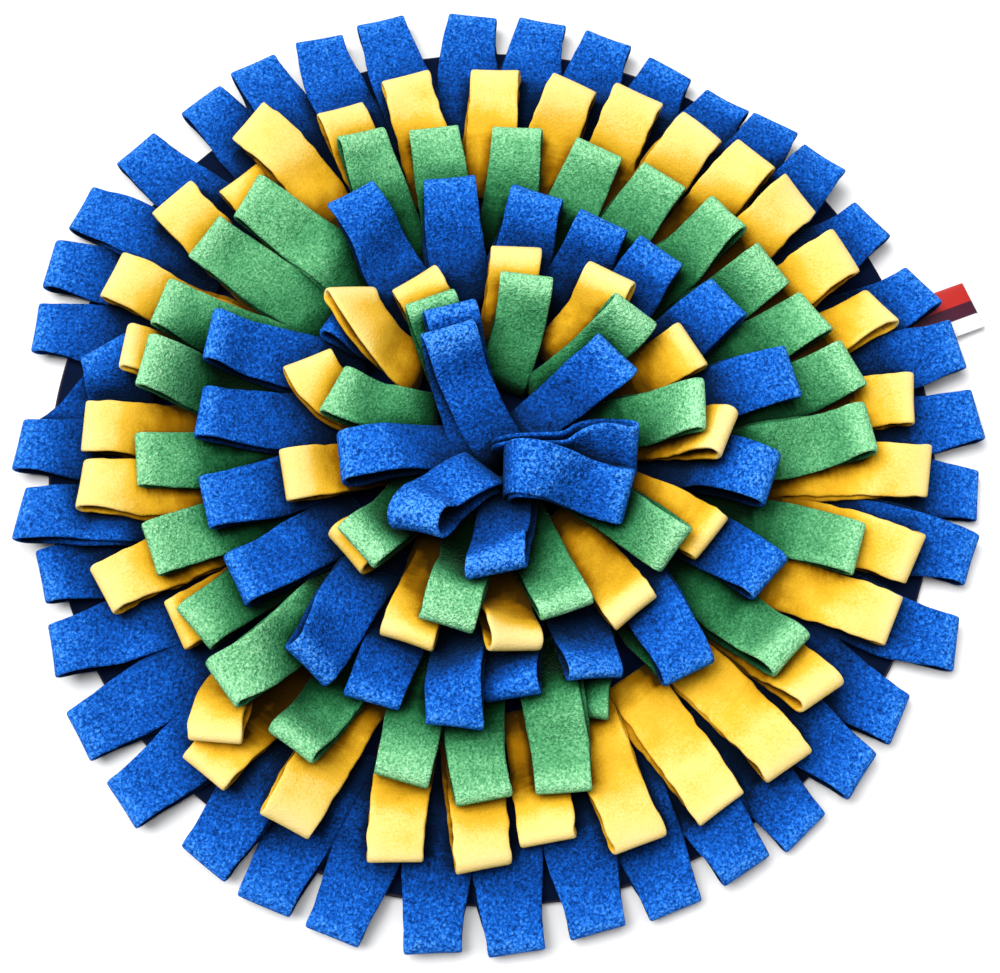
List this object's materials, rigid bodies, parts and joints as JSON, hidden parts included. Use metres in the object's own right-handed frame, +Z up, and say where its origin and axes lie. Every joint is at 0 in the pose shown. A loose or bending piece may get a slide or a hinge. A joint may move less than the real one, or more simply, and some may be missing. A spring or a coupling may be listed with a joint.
{
  "type": "snuffle mat",
  "caption": "Round snuffle mat: rings of folded fleece loops in blue, yellow and green, sewn to a round base cloth, with a bare side label.",
  "frame": {"origin": "centre of the base cloth's underside", "axes": "+Z up, out of the loops; +Y towards the top of the mat as it is seen from above"},
  "size_m": [0.4651, 0.4653, 0.0513],
  "materials": {
    "base_cloth": "matte",
    "blue_fleece": "matte",
    "yellow_fleece": "matte",
    "green_fleece": "matte",
    "label_ribbon": "satin"
  },
  "bodies": {
    "root": {"backing": "base_cloth", "row_1_blue": "blue_fleece", "row_2_yellow": "yellow_fleece", "row_3_green": "green_fleece", "row_4_blue": "blue_fleece", "row_5_yellow": "yellow_fleece", "row_6_green": "green_fleece", "row_7_blue": "blue_fleece", "label": "label_ribbon"}
  },
  "joints": []
}
